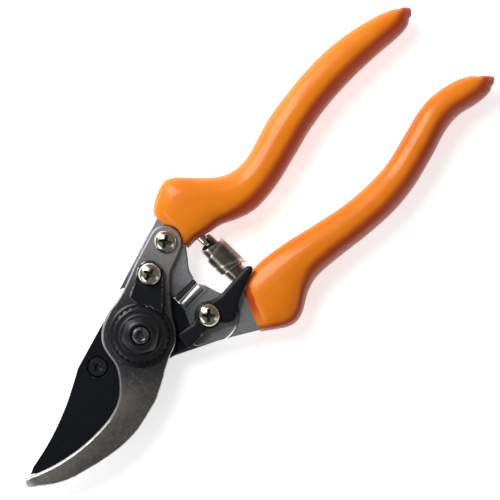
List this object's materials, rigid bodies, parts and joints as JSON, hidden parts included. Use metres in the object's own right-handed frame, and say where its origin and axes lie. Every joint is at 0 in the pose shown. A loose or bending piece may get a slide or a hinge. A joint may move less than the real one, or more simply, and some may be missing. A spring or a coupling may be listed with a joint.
{
  "type": "bypass pruner",
  "caption": "Bypass hand pruner: curved hook and cutting blade on one pivot, forged arms with orange dipped grips, volute spring and thumb catch",
  "frame": {"origin": "middle of the pivot bolt's head, on the flat underside that the tool rests on", "axes": "+Y along the tool towards the blade tips, +Z along the pivot out of the nut's side, +X towards the hook's handle"},
  "size_m": [0.0663, 0.2152, 0.022],
  "materials": {
    "orange_vinyl": "glossy dipped vinyl",
    "forged_steel": "satin forging",
    "ground_steel": "ground, with a bright bevel",
    "black_coating": "semi-gloss low-friction coating",
    "bright_zinc": "bright plated, slightly yellow",
    "spring_steel": "dark nickel strip with bright edges",
    "black_rubber": "matte"
  },
  "bodies": {
    "hook_half": {"hook_arm": "forged_steel", "hook_grip": "orange_vinyl", "hook_blade": "ground_steel", "hook_blade_screw": "bright_zinc", "nut_lock_segment": "black_coating", "segment_screw": "bright_zinc", "rubber_buffer": "black_rubber", "pivot_bolt": "black_coating", "bolt_washer": "bright_zinc", "thrust_washer": "black_coating", "pivot_nut": "black_coating", "hook_arm_spring_peg": "bright_zinc", "volute_spring": "spring_steel"},
    "blade_half": {"blade_arm": "forged_steel", "blade_grip": "orange_vinyl", "cutting_blade": "black_coating", "blade_screw": "black_coating", "blade_arm_spring_peg": "bright_zinc", "catch_bush": "bright_zinc", "catch_wave_washer": "bright_zinc", "catch_screw": "bright_zinc"},
    "catch": {"safety_catch": "black_coating"}
  },
  "joints": [
    {"name": "blade_pivot", "type": "hinge", "parent": "hook_half", "child": "blade_half", "pos_m": [0, 0, 0.0097], "axis": [0, 0, -1], "range_deg": [0, 32], "deforming": ["volute_spring"]},
    {"name": "catch_pivot", "type": "hinge", "parent": "blade_half", "child": "catch", "pos_m": [-0.0122, -0.0212, 0.0135], "axis": [0, 0, 1], "range_deg": [0, 14]}
  ]
}
